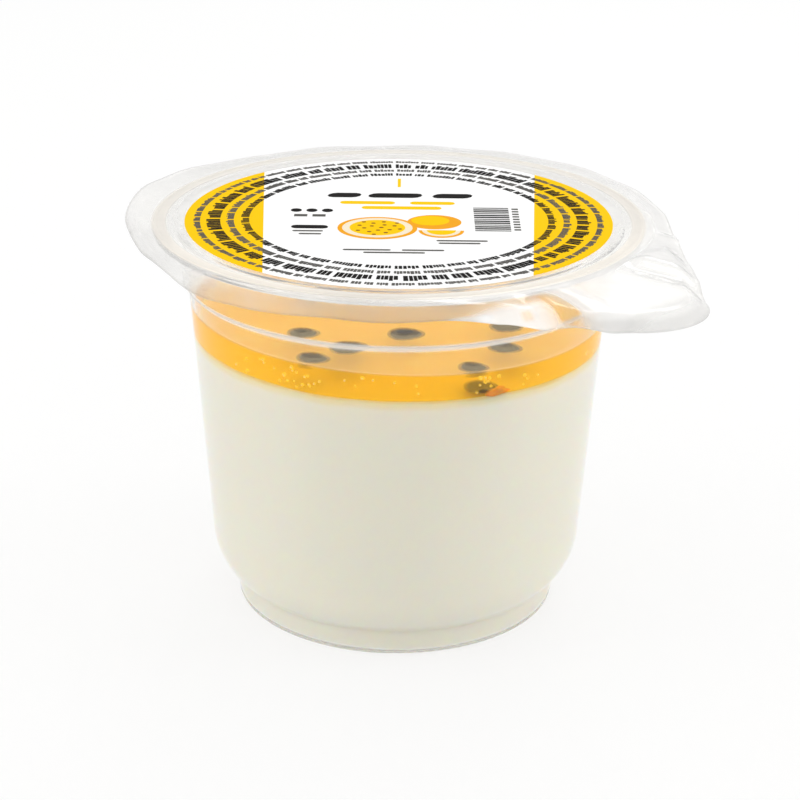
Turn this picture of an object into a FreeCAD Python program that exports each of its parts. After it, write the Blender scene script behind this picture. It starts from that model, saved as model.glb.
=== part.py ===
import FreeCAD, Part
import math
import os
import Sketcher

# Sealed single-serve dessert cup: a clear thermoformed cup with a flat sealing rim, a stacking step,
# a tapered wall, a rounded shoulder and a recessed foot; the mousse and the fruit jelly set on it;
# and the clear peel-off film, heat-sealed to the rim, with its corner tab for the fingers.
# Millimetres, +Z up. The origin is the centre of the foot, on the table.

doc = FreeCAD.newDocument("DessertCup")

# ---------------------------------------------------------------- driving sizes
SIZES = [
    # cup
    ("rim_radius", 37.5, "outer radius of the sealing rim"),
    ("rim_width", 4.5, "from the neck's outside to the rim's edge"),
    ("rim_thick", 1.05, "rim thickness"),
    ("rim_edge_round", 0.35, "rounding of the rim's two outer edges"),
    ("mouth_round", 2.0, "rounding between the rim's top and the mouth"),
    ("neck_round", 1.5, "rounding between the rim's underside and the neck"),
    ("cup_height", 61.85, "top of the rim above the table"),
    ("neck_length", 8.85, "from the top of the rim down to the stacking step"),
    ("step_width", 0.7, "stacking step, inwards"),
    ("step_drop", 0.6, "height over which the step runs in"),
    ("wall_taper", 4.1, "lean of the wall from the vertical, degrees"),
    ("wall_thick", 0.6, "thickness of the cup's wall"),
    ("shoulder_height", 11.0, "where the straight wall turns into the shoulder"),
    ("shoulder_inset", 3.9, "from the end of the wall in to the foot"),
    ("foot_height", 3.9, "crease between shoulder and foot"),
    ("foot_ring_width", 2.6, "flat ring that the cup stands on"),
    ("base_recess", 1.3, "height of the recess under the base"),
    ("recess_slope", 1.4, "width of the slope into the recess"),
    ("crease_round", 0.8, "rounding of the crease above the foot"),
    ("foot_round", 0.5, "rounding of the foot's lower edge"),
    # filling
    ("headspace", 13.7, "from the rim's top down to the jelly, on the axis"),
    ("jelly_depth", 3.8, "depth of the jelly, on the axis"),
    ("jelly_tilt", 1.7, "lean of the jelly's top, higher towards -X, degrees"),
    ("mousse_tilt", 0.85, "lean of the mousse's top, higher towards -X, degrees"),
    # film lid
    ("film_thick", 0.15, "thickness of the film"),
    ("film_overhang", 4.0, "film past the rim, all round"),
    ("tab_spread", 3.0, "lean of the tab's two sides past square, degrees"),
    ("tab_round", 10.3, "rounding of the tab's corner"),
    ("tab_direction", -45.0, "direction in which the tab points, degrees from +X"),
    ("edge_curl", 1.5, "how far the tab's free edge curls down"),
    ("seal_margin", 0.4, "how far past the rim the film stays level"),
    ("fold_height", 0.9, "height of the ridge across the tab"),
    ("ripple_height", 0.08, "height of the small waves in the film's skirt"),
]

sizes = doc.addObject("Spreadsheet::Sheet", "Sizes")
size = {}
for row, (alias, value, note) in enumerate(SIZES, start=1):
    sizes.set(f"A{row}", note)
    sizes.set(f"B{row}", str(value))
    sizes.setAlias(f"B{row}", alias)
    size[alias] = value
doc.recompute()


def ref(text):
    """An expression in which each size's name stands for its cell in the sheet."""
    words = sorted(size, key=len, reverse=True)
    for index, word in enumerate(words):
        text = text.replace(word, f"@{index}@")
    for index, word in enumerate(words):
        text = text.replace(f"@{index}@", f"Sizes.{word}")
    return text


# ---------------------------------------------------------------- radii and heights worked out from the sizes
NECK_R = "(rim_radius - rim_width)"
STEP_Z = "(cup_height - neck_length)"
WALL_TOP_R = f"({NECK_R} - step_width)"
WALL_TOP_Z = f"({STEP_Z} - step_drop)"
SHOULDER_R = f"({WALL_TOP_R} - ({WALL_TOP_Z} - shoulder_height) * tan(wall_taper * 1deg))"
FOOT_R = f"({SHOULDER_R} - shoulder_inset)"
RING_INNER_R = f"({FOOT_R} - foot_ring_width)"
RECESS_R = f"({RING_INNER_R} - recess_slope)"
JELLY_Z = "(cup_height - headspace)"
MOUSSE_Z = f"({JELLY_Z} - jelly_depth)"
FILM_R = "(rim_radius + film_overhang)"

# Corners of a profile, from the mouth down to the axis: radius, height, and whether the side
# that starts there is an arc tangent to the side before it.
OUTSIDE = [
    ("0", "cup_height", False),
    ("rim_radius", "cup_height", False),
    ("rim_radius", "cup_height - rim_thick", False),
    (NECK_R, "cup_height - rim_thick", False),
    (NECK_R, STEP_Z, False),
    (WALL_TOP_R, WALL_TOP_Z, False),
    (SHOULDER_R, "shoulder_height", True),
    (FOOT_R, "foot_height", False),
    (FOOT_R, "0", False),
    (RING_INNER_R, "0", False),
    (RECESS_R, "base_recess", False),
    ("0", "base_recess", False),
]
CAVITY = [
    ("0", "cup_height", False),
    (f"{NECK_R} - wall_thick", "cup_height", False),
    (f"{NECK_R} - wall_thick", STEP_Z, False),
    (f"{WALL_TOP_R} - wall_thick", WALL_TOP_Z, False),
    (f"{SHOULDER_R} - wall_thick", "shoulder_height", True),
    (f"{FOOT_R} - wall_thick", "foot_height + wall_thick / 2", False),
    (f"{FOOT_R} - wall_thick", "wall_thick", False),
    (RING_INNER_R, "wall_thick", False),
    (RECESS_R, "base_recess + wall_thick", False),
    ("0", "base_recess + wall_thick", False),
]


def plane_of(body, role):
    """The body's own origin plane with that role."""
    return next(part for part in body.Origin.OriginFeatures if part.Role == role)


def number(expression):
    """The value of an expression with the sizes as they are now."""
    return float(sizes.evalExpression(ref(expression)))


def place_corner(sketch, geometry, point, across, up):
    """Tie one end of a side to its distances from the sketch's origin."""
    for text, kind, axis in ((across, "DistanceX", -2), (up, "DistanceY", -1)):
        if text == "0":
            sketch.addConstraint(Sketcher.Constraint("PointOnObject", geometry, point, axis))
        else:
            index = sketch.addConstraint(Sketcher.Constraint(kind, -1, 1, geometry, point, number(text)))
            sketch.setExpression(f"Constraints[{index}]", ref(text))


def tangent_arc(start, end, before):
    """The arc from start to end that leaves start in line with the side from before to start."""
    along = (start - before).normalize()
    chord = end - start
    across = chord - along * chord.dot(along)
    across.normalize()
    radius = chord.Length ** 2 / (2 * chord.dot(across))
    centre = start + across * radius
    middle = (start + end) / 2 - centre
    return Part.Arc(start, centre + middle.normalize() * radius, end)


def closed_sketch(body, name, plane, corners):
    """A closed sketch of straight sides and tangent arcs through the given corners."""
    sketch = body.newObject("Sketcher::SketchObject", name)
    sketch.AttachmentSupport = [(plane_of(body, plane), "")]
    sketch.MapMode = "FlatFace"
    points = [FreeCAD.Vector(number(across), number(up), 0) for across, up, _ in corners]
    ends = []
    for index, start in enumerate(points):
        end = points[(index + 1) % len(points)]
        if corners[index][2]:
            side = sketch.addGeometry(tangent_arc(start, end, points[index - 1]), False)
        else:
            side = sketch.addGeometry(Part.LineSegment(start, end), False)
        forwards = sketch.getPoint(side, 1).distanceToPoint(start) < 1e-6
        ends.append((side, 1, 2) if forwards else (side, 2, 1))
    for index, (side, first, _) in enumerate(ends):
        before, _, last = ends[index - 1]
        joint = "Tangent" if corners[index][2] else "Coincident"
        sketch.addConstraint(Sketcher.Constraint(joint, before, last, side, first))
        across, up, _ = corners[index]
        place_corner(sketch, side, first, across, up)
    return sketch


def new_body(name):
    """A body whose label names its node."""
    body = doc.addObject("PartDesign::Body", name)
    body.Label = name
    body.Placement = FreeCAD.Placement()
    return body


def revolve(body, kind, name, corners):
    """A profile on the XZ plane turned once round the Z axis, added or cut away."""
    sketch = closed_sketch(body, f"{name}Profile", "XZ_Plane", corners)
    turned = body.newObject(f"PartDesign::{kind}", name)
    turned.Profile = sketch
    turned.ReferenceAxis = (sketch, ["V_Axis"])
    turned.Angle = 360
    doc.recompute()
    return turned


def ring_edge(shape, radius, height):
    """Name of the whole circle of that radius at that height."""
    for index, edge in enumerate(shape.Edges, start=1):
        curve = edge.Curve
        if not isinstance(curve, Part.Circle):
            continue
        if abs(curve.Radius - radius) < 1e-4 and abs(curve.Center.z - height) < 1e-4:
            return f"Edge{index}"
    raise RuntimeError(f"no ring of radius {radius:.2f} at height {height:.2f}")


def round_edges(body, name, base, rings, radius):
    """A fillet on the ring edges given by their radius and height."""
    fillet = body.newObject("PartDesign::Fillet", name)
    fillet.Base = (base, [ring_edge(base.Shape, number(across), number(up)) for across, up in rings])
    fillet.setExpression("Radius", ref(radius))
    doc.recompute()
    return fillet


def cut_level(body, name, level, tilt, keep_below):
    """Cut a filling off along a plane through the axis at that level, higher towards -X.

    The cutter reaches past the rim on both sides, and past the rim's top or the table.
    """
    reach = "(rim_radius * 1.2)"
    rise = f"{reach} * tan({tilt} * 1deg)"
    far = "cup_height * 1.2" if keep_below else "-cup_height * 0.2"
    corners = [
        (f"-{reach}", f"{level} + {rise}", False),
        (reach, f"{level} - {rise}", False),
        (reach, far, False),
        (f"-{reach}", far, False),
    ]
    sketch = closed_sketch(body, f"{name}Profile", "XZ_Plane", corners)
    before = body.Tip.Shape.Volume
    pocket = body.newObject("PartDesign::Pocket", name)
    pocket.Profile = sketch
    pocket.Type = "ThroughAll"
    pocket.Midplane = True
    doc.recompute()
    if not pocket.Shape.Volume < before - 1:
        raise RuntimeError(f"{name} cut nothing")


# ---------------------------------------------------------------- cup
cup = new_body("cup")
blank = revolve(cup, "Revolution", "Blank", OUTSIDE)
hollow = revolve(cup, "Groove", "Hollow", CAVITY)
if not hollow.Shape.Volume < blank.Shape.Volume / 2:
    raise RuntimeError("the cup was not hollowed")
mouth = round_edges(cup, "MouthRound", hollow, [(f"{NECK_R} - wall_thick", "cup_height")], "mouth_round")
neck = round_edges(cup, "NeckRound", mouth, [(NECK_R, "cup_height - rim_thick")], "neck_round")
rim = round_edges(
    cup, "RimEdges", neck,
    [("rim_radius", "cup_height"), ("rim_radius", "cup_height - rim_thick")], "rim_edge_round")
crease = round_edges(cup, "CreaseRound", rim, [(FOOT_R, "foot_height")], "crease_round")
round_edges(cup, "FootRound", crease, [(FOOT_R, "0")], "foot_round")

# ---------------------------------------------------------------- mousse and jelly
mousse = new_body("mousse")
revolve(mousse, "Revolution", "MousseFill", CAVITY)
cut_level(mousse, "MousseTop", MOUSSE_Z, "mousse_tilt", keep_below=True)

jelly = new_body("jelly")
revolve(jelly, "Revolution", "JellyFill", CAVITY)
cut_level(jelly, "JellyTop", JELLY_Z, "jelly_tilt", keep_below=True)
cut_level(jelly, "JellyBottom", MOUSSE_Z, "mousse_tilt", keep_below=False)

# ---------------------------------------------------------------- film lid
# The outline, seen from above with the tab along +X: a round arc, two straight sides tangent to it,
# and the tab's rounded corner between them. It is turned to the tab's direction afterwards.
film_cutter = new_body("FilmCutter")


def outline_numbers():
    """Radius of the film, the angle at which its sides leave the round, and the tab corner's centre."""
    radius = number(FILM_R)
    leave = math.radians(45 + size["tab_spread"])
    centre = (radius - size["tab_round"]) / math.cos(leave)
    return radius, leave, centre


def edge_distance(angle):
    """Distance from the axis to the film's edge, angle measured from the tab's direction, radians."""
    radius, leave, centre = outline_numbers()
    angle = abs(math.remainder(angle, math.tau))
    if angle >= leave:
        return radius
    along_side = radius / math.cos(leave - angle)
    corner = size["tab_round"]
    reach = corner ** 2 - (centre * math.sin(angle)) ** 2
    if reach <= 0:
        return along_side
    past_corner = centre * math.cos(angle) + math.sqrt(reach)
    tangent_angle = math.atan2(corner * math.sin(leave), centre + corner * math.cos(leave))
    return past_corner if angle < tangent_angle else along_side


def film_outline(body):
    """Sketch of the film's outline with the tab along +X."""
    radius, leave, centre = outline_numbers()
    corner = size["tab_round"]
    sketch = body.newObject("Sketcher::SketchObject", "FilmOutline")
    sketch.AttachmentSupport = [(plane_of(body, "XY_Plane"), "")]
    sketch.MapMode = "FlatFace"
    origin, up = FreeCAD.Vector(0, 0, 0), FreeCAD.Vector(0, 0, 1)
    tab_centre = FreeCAD.Vector(centre, 0, 0)
    round_arc = Part.ArcOfCircle(Part.Circle(origin, up, radius), leave, math.tau - leave)
    tab_arc = Part.ArcOfCircle(Part.Circle(tab_centre, up, corner), -leave, leave)

    def on(middle, reach, angle):
        return middle + FreeCAD.Vector(math.cos(angle), math.sin(angle), 0) * reach

    upper = Part.LineSegment(on(tab_centre, corner, leave), on(origin, radius, leave))
    lower = Part.LineSegment(on(origin, radius, -leave), on(tab_centre, corner, -leave))
    round_id, upper_id, lower_id, tab_id = [
        sketch.addGeometry(side, False) for side in (round_arc, upper, lower, tab_arc)]
    for first, first_end, second, second_end in (
            (tab_id, 2, upper_id, 1), (upper_id, 2, round_id, 1),
            (round_id, 2, lower_id, 1), (lower_id, 2, tab_id, 1)):
        sketch.addConstraint(Sketcher.Constraint("Tangent", first, first_end, second, second_end))
    sketch.addConstraint(Sketcher.Constraint("Coincident", round_id, 3, -1, 1))
    sketch.addConstraint(Sketcher.Constraint("PointOnObject", tab_id, 3, -1))
    for index, text in (
            (sketch.addConstraint(Sketcher.Constraint("Radius", round_id, radius)), FILM_R),
            (sketch.addConstraint(Sketcher.Constraint("Radius", tab_id, corner)), "tab_round"),
            (sketch.addConstraint(Sketcher.Constraint("DistanceX", -1, 1, tab_id, 3, centre)),
             f"({FILM_R} - tab_round) / cos((45 + tab_spread) * 1deg)")):
        sketch.setExpression(f"Constraints[{index}]", ref(text))
    return sketch


outline = film_outline(film_cutter)
block = film_cutter.newObject("PartDesign::Pad", "FilmBlock")
block.Profile = outline
block.Midplane = True
block.setExpression("Length", ref("rim_radius"))
film_cutter.setExpression("Placement.Base.z", ref("cup_height"))
film_cutter.Placement.Rotation = FreeCAD.Rotation(FreeCAD.Vector(0, 0, 1), size["tab_direction"])
doc.recompute()

# How far the film's free edge hangs below the seal, by direction from +X in degrees; below zero it
# stands up. It springs up towards -X and hangs lowest beside the tab.
EDGE_HANG = [
    (-180, -0.5), (-165, -0.1), (-150, 0.5), (-130, 2.3), (-105, 1.9), (-90, 2.0),
    (-70, 0.5), (-50, 0.8), (-40, 0.9), (-20, 0.5), (10, 0.6), (45, 0.2),
    (90, 0.2), (130, 0.2), (150, -0.6), (165, -1.3), (180, -0.5),
]
HANG_POWER = 1.3

# Creases that run out across the tab: direction and half-width in degrees, and height as a share of
# fold_height. The first is a valley.
CREASES = [(-3.0, 5.0, -0.6), (-27.0, 6.5, 1.0)]

# Small waves of the skirt: how many go round, where the first starts in radians, and how soon they
# reach their full height on the way out.
RIPPLES = 17
RIPPLE_START = 0.8
RIPPLE_ONSET = 1.5

# Poles of the film's surface: rings inside the seal's edge, rings from there out to past the film's
# edge as shares of the way, and spokes.
SEAL_RINGS = 3
SEAL_RING_STEP = 1.3
SKIRT_STEPS = (0.18, 0.38, 0.58, 0.76, 0.88, 0.96, 1.04, 1.14)
SPOKES = 72
FIRST_SPOKE = 100.0


def smooth(share):
    """Zero below 0, one above 1, and level at both ends."""
    share = min(max(share, 0.0), 1.0)
    return share * share * (3 - 2 * share)


def edge_hang(degrees):
    """How far the free edge hangs in that direction."""
    for (before, low), (after, high) in zip(EDGE_HANG, EDGE_HANG[1:]):
        if before <= degrees <= after:
            return low + (high - low) * smooth((degrees - before) / (after - before))
    return EDGE_HANG[-1][1]


def crease_rise(distance, degrees):
    """Height of the creases that run out across the tab from the rim."""
    outwards = smooth((distance - size["rim_radius"]) / size["film_overhang"])
    rise = 0.0
    for middle, width, share in CREASES:
        beside = (degrees - middle) / width
        rise += share * size["fold_height"] * math.exp(-beside * beside) * outwards
    return rise


def film_point(step, spoke):
    """One pole of the film's free skirt: ring by ring outwards, spoke by spoke round."""
    angle = math.remainder(math.radians(FIRST_SPOKE + 360.0 * spoke / SPOKES), math.tau)
    degrees = math.degrees(angle)
    seal = size["rim_radius"] + size["seal_margin"]
    edge = edge_distance(angle - math.radians(size["tab_direction"]))
    level = size["cup_height"] + size["film_thick"]
    if step < SEAL_RINGS:
        distance = seal - (SEAL_RINGS - 1 - step) * SEAL_RING_STEP
        rise = 0.0
    else:
        share = SKIRT_STEPS[step - SEAL_RINGS]
        distance = seal + (edge - seal) * share
        tab = smooth((edge - number(FILM_R)) / size["film_overhang"])
        curl = size["edge_curl"] * tab * smooth(1 + (distance - edge) / size["film_overhang"])
        wave = math.sin(RIPPLES * angle + RIPPLE_START) * smooth(share * RIPPLE_ONSET)
        hang = edge_hang(degrees) * share ** HANG_POWER
        rise = crease_rise(distance, degrees) + size["ripple_height"] * wave - hang - curl
    return FreeCAD.Vector(distance * math.cos(angle), distance * math.sin(angle), level + rise)


def film_sheet():
    """The film before it is cut to its outline: a flat disc and the wavy skirt round it."""
    rings = SEAL_RINGS + len(SKIRT_STEPS)
    poles = [[film_point(step, spoke) for spoke in range(SPOKES)] for step in range(rings)]
    outwards = [float(knot) for knot in range(rings - 1)]
    ends = [3] + [1] * (len(outwards) - 2) + [3]
    surface = Part.BSplineSurface()
    surface.buildFromPolesMultsKnots(
        poles, ends, [1] * (SPOKES + 1), outwards, [float(knot) for knot in range(SPOKES + 1)],
        False, True, 2, 3)
    skirt = surface.toShape()
    level = size["cup_height"] + size["film_thick"]
    inner = min(skirt.Edges, key=lambda edge: edge.BoundBox.XLength if edge.isClosed() else 1e9)
    disc = Part.Face(Part.Wire([inner]))
    if abs(disc.CenterOfMass.z - level) > 1e-6:
        raise RuntimeError("the film's disc left the plane of the seal")
    down = FreeCAD.Vector(0, 0, -size["film_thick"])
    return disc.extrude(down).fuse(skirt.extrude(down)).removeSplitter()


sheet = doc.addObject("Part::Feature", "FilmSheet")
sheet.Shape = film_sheet()
lid = doc.addObject("Part::MultiCommon", "lid_film")
lid.Label = "lid_film"
lid.Shapes = [sheet, film_cutter]
doc.recompute()

# ---------------------------------------------------------------- checks and files
for part in doc.Objects:
    if "Invalid" in part.State or "Error" in part.State:
        raise RuntimeError(f"{part.Name} failed: {part.State}")

os.makedirs("parts", exist_ok=True)
for node in (cup, mousse, jelly, lid):
    shape = node.Shape
    if shape.isNull() or not shape.isValid() or len(shape.Solids) != 1:
        raise RuntimeError(f"{node.Label} is not one valid solid")
    shape.exportStep(f"parts/{node.Label}.step")
    box = shape.BoundBox
    print(f"{node.Label:9s} {shape.Volume / 1000:8.2f} ml  x {box.XMin:.2f}..{box.XMax:.2f}"
          f"  y {box.YMin:.2f}..{box.YMax:.2f}  z {box.ZMin:.2f}..{box.ZMax:.2f}")
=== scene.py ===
"""Looks of a sealed single-serve cup of mousse under golden fruit jelly.

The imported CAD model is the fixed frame. The clear cup stays as it is and gets its plastic. The mousse, the
jelly and the film lid are replaced by finer meshes of the same outline, and the print, the seeds, the
shreds of pulp and the bubbles are added. Lengths in the classes are millimetres and angles are degrees
from +X, unless a comment says otherwise; meshes are in metres.
"""

import logging
import math
import random
from dataclasses import dataclass, field
from enum import Enum
from functools import partial
from typing import Any, Callable, Iterable, NamedTuple

import bpy
from mathutils import Matrix, Vector, noise

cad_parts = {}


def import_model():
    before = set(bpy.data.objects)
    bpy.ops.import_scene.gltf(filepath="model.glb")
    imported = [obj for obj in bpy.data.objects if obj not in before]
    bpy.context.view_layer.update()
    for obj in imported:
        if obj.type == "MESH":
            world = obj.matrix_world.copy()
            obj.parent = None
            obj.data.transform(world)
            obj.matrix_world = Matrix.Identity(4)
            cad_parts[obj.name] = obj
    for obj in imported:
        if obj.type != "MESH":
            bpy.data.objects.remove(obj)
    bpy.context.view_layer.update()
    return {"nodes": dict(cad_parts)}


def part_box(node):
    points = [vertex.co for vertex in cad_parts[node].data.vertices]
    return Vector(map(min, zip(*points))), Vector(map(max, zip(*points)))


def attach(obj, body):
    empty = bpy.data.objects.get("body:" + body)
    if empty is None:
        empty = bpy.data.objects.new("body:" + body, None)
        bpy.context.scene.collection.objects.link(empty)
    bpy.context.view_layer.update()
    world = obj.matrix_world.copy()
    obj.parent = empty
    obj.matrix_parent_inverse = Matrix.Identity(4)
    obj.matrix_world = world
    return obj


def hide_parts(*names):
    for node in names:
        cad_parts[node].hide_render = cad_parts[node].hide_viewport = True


MM = 0.001
CM = 0.01
BODY = "root"
PAINTED_HIGHLIGHT_LAYER = "film_painted_highlight"
PAINTED_SHADE_LAYER = "film_painted_shade"
LOG = logging.getLogger("dessert_cup")

Point = tuple[float, float, float]
Flat = tuple[float, float]
Face = tuple[int, ...]
Colour = tuple[float, float, float, float]
Ring = Callable[[float], Flat]
Top = Callable[[float, float], float]


# ---------------------------------------------------------------- small tools
def linear(colour: str) -> Colour:
    """Turn an sRGB hex colour into linear light.

    Args:
        colour: A hash and six hex digits.

    Returns:
        Red, green and blue in linear light, and 1.
    """
    shares = [int(colour[i:i + 2], 16) / 255 for i in (1, 3, 5)]
    red, green, blue = (s / 12.92 if s <= 0.04045 else ((s + 0.055) / 1.055) ** 2.4 for s in shares)
    return red, green, blue, 1.0


def even(value: float) -> Colour:
    """The same value in all three channels."""
    return value, value, value, 1.0


def smooth(share: float) -> float:
    """Zero below 0, one above 1, and level at both ends."""
    share = min(max(share, 0.0), 1.0)
    return share * share * (3 - 2 * share)


def repeats(size_mm: float) -> float:
    """Scale of a texture whose pattern is that large."""
    return 1 / (size_mm * MM)


def add_node(tree: bpy.types.NodeTree, kind: str, sockets: dict[Any, Any] | None = None,
             **settings: Any) -> bpy.types.Node:
    """Add one node with its settings and what goes into its sockets.

    Args:
        tree: Node tree that gets the node.
        kind: Blender's name of the node's type, after "ShaderNode".
        sockets: For each input, by name or number, a value, the output to link from, or a node whose
            first output is linked.
        **settings: Attributes of the node, such as operation or data_type.

    Returns:
        The new node.
    """
    node = tree.nodes.new("ShaderNode" + kind)
    for name, value in settings.items():
        setattr(node, name, value)
    for key, value in (sockets or {}).items():
        source = value.outputs[0] if isinstance(value, bpy.types.Node) else value
        if isinstance(source, bpy.types.NodeSocket):
            tree.links.new(source, node.inputs[key])
        else:
            node.inputs[key].default_value = source
    return node


def set_stops(ramp: bpy.types.Node, stops: Iterable[tuple[float, Colour]]) -> None:
    """Give a colour ramp its stops.

    Args:
        ramp: The Color Ramp node.
        stops: Position and linear colour of each stop, in order.
    """
    elements = ramp.color_ramp.elements
    for index, (position, colour) in enumerate(stops):
        stop = elements[index] if index < len(elements) else elements.new(position)
        stop.position = position
        stop.color = colour


def seen_directly(add: Callable[..., bpy.types.Node]) -> bpy.types.Node:
    """Tell what looks at the background from what lights the object.

    Args:
        add: Adds a node to the tree in hand.

    Returns:
        A node that gives 1 for rays from the camera, mirrored rays and rays through clear pieces.
    """
    path = add("LightPath")
    mirrored = add("Math", {0: path.outputs["Is Camera Ray"], 1: path.outputs["Is Glossy Ray"]},
                   operation="MAXIMUM")
    return add("Math", {0: mirrored, 1: path.outputs["Is Transmission Ray"]}, operation="MAXIMUM")


class Mixture:
    """A material while it is put together, with the place on the object that its textures read."""

    def __init__(self, name: str) -> None:
        """Start with an empty tree.

        Args:
            name: Name of the material.
        """
        self.material = bpy.data.materials.new(name)
        self.material.use_nodes = True
        self.material.node_tree.nodes.clear()
        self.add: Callable[..., bpy.types.Node] = partial(add_node, self.material.node_tree)
        self.coordinates = self.add("TexCoord")
        self.at = self.coordinates.outputs["Object"]

    def done(self, surface: bpy.types.Node, lamp_share: float | None = None,
             **inside: bpy.types.Node) -> bpy.types.Material:
        """Link the shaders to the output.

        Args:
            surface: What light meets.
            lamp_share: For a clear piece, how much of the lamps' light reaches what lies behind it.
            **inside: The output's Volume, if the piece has one.

        Returns:
            The finished material.
        """
        if lamp_share is not None:
            path = self.add("LightPath")
            through = self.add("BsdfTransparent", {"Color": even(lamp_share)})
            surface = self.add("MixShader", {0: path.outputs["Is Shadow Ray"], 1: surface, 2: through})
        self.add("OutputMaterial", {"Surface": surface, **inside})
        return self.material


def mesh_object(name: str, points: list[Point], faces: list[Face], material: bpy.types.Material,
                is_smooth: bool = True) -> bpy.types.Object:
    """Make a mesh object in the row frame.

    Args:
        name: Name of the piece.
        points: Places of the vertices, millimetres.
        faces: Vertex numbers of each face, seen anticlockwise from outside.
        material: What the piece is dressed in.
        is_smooth: Whether its faces are shaded smooth.

    Returns:
        The object, linked to the scene.
    """
    mesh = bpy.data.meshes.new(name)
    mesh.from_pydata([(x * MM, y * MM, z * MM) for x, y, z in points], [], faces)
    mesh.polygons.foreach_set("use_smooth", [is_smooth] * len(mesh.polygons))
    mesh.materials.append(material)
    mesh.validate()
    mesh.update()
    piece = bpy.data.objects.new(name, mesh)
    bpy.context.scene.collection.objects.link(piece)
    return piece


def ring_grid(rings: int, spokes: int, first: int = 0, flip: bool = False) -> list[Face]:
    """Quads between rings of vertices that close on themselves.

    Args:
        rings: How many rings.
        spokes: Vertices in each.
        first: Number of the first vertex.
        flip: Whether the faces look the other way.

    Returns:
        The faces.
    """
    faces: list[Face] = []
    for low in range(first, first + (rings - 1) * spokes, spokes):
        for spoke in range(spokes):
            after = (spoke + 1) % spokes
            quad = (low + spoke, low + after, low + spokes + after, low + spokes + spoke)
            faces.append(tuple(reversed(quad)) if flip else quad)
    return faces


def close_end(points: list[Point], faces: list[Face], first: int, spokes: int, pole: Point,
              flip: bool) -> None:
    """Close a ring of vertices with a fan to one point.

    Args:
        points: Vertices so far; the point is added.
        faces: Faces so far; the fan is added.
        first: Number of the ring's first vertex.
        spokes: Vertices in the ring.
        pole: The point.
        flip: Whether the faces look the other way.
    """
    centre = len(points)
    points.append(pole)
    for spoke in range(spokes):
        edge = (first + spoke, first + (spoke + 1) % spokes)
        faces.append((edge[1], edge[0], centre) if flip else (*edge, centre))


def hand_over(piece: bpy.types.Object, slot: str, *replaced: str) -> bpy.types.Object:
    """Let a piece ride on the body.

    Args:
        piece: The piece.
        slot: Its material slot in the record; not used.
        *replaced: CAD nodes that it stands for.

    Returns:
        The piece.
    """
    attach(piece, BODY)
    if replaced:
        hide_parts(*replaced)
    LOG.info("%s: %d faces", piece.name, len(piece.data.polygons))
    return piece


# ---------------------------------------------------------------- finishes
@dataclass(frozen=True)
class ThermoformedPolypropylene:
    """Polypropylene sheet, vacuum formed: clear and glossy, a little milky, greyer where the eye looks
    along the wall, with a faint waviness left by the mould, and white where it was bent sharply."""

    tint: str = "#FDFDFC"
    grey: str = "#C8C8C6"
    clearness: float = 0.985
    bend_clearness: float = 0.45
    bend_start: float = 0.9
    bend_full: float = 0.6
    bend_end: float = 0.35
    roughness: float = 0.055
    # The plastic's own value is 1.49. It was lowered to match, as the filling wets the wall from inside.
    ior: float = 1.27
    wave_mm: float = 9.0
    wave_depth_mm: float = 0.05
    absorption_per_m: float = 26.0
    lamp_share: float = 0.985

    def material(self, step: float, rim_top: float) -> bpy.types.Material:
        """Build the cup's plastic.

        Args:
            step: Height of the stacking step's top.
            rim_top: Height of the rim's top.

        Returns:
            The material.
        """
        mix = Mixture("thermoformed_polypropylene")
        waves = mix.add("TexNoise", {"Vector": mix.at, "Scale": repeats(self.wave_mm), "Detail": 1.5})
        bump = mix.add("Bump", {"Height": waves, "Strength": 0.06, "Distance": self.wave_depth_mm * MM})
        height = mix.add("SeparateXYZ", {0: mix.at})
        share = mix.add("Math", {0: height.outputs["Z"], 1: rim_top * MM}, operation="DIVIDE")
        bends = mix.add("ValToRGB", {"Fac": share})
        clear, white = even(self.clearness), even(self.bend_clearness)
        set_stops(bends, [
            ((step - self.bend_start) / rim_top, clear), ((step - self.bend_full) / rim_top, white),
            (step / rim_top, white), ((step + self.bend_end) / rim_top, clear)])
        plastic = mix.add("BsdfPrincipled", {
            "Base Color": linear(self.tint), "Roughness": self.roughness, "IOR": self.ior,
            "Specular IOR Level": 0.8, "Transmission Weight": bends, "Normal": bump})
        grey = mix.add("VolumeAbsorption", {"Color": linear(self.grey), "Density": self.absorption_per_m})
        return mix.done(plastic, self.lamp_share, Volume=grey)


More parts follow.
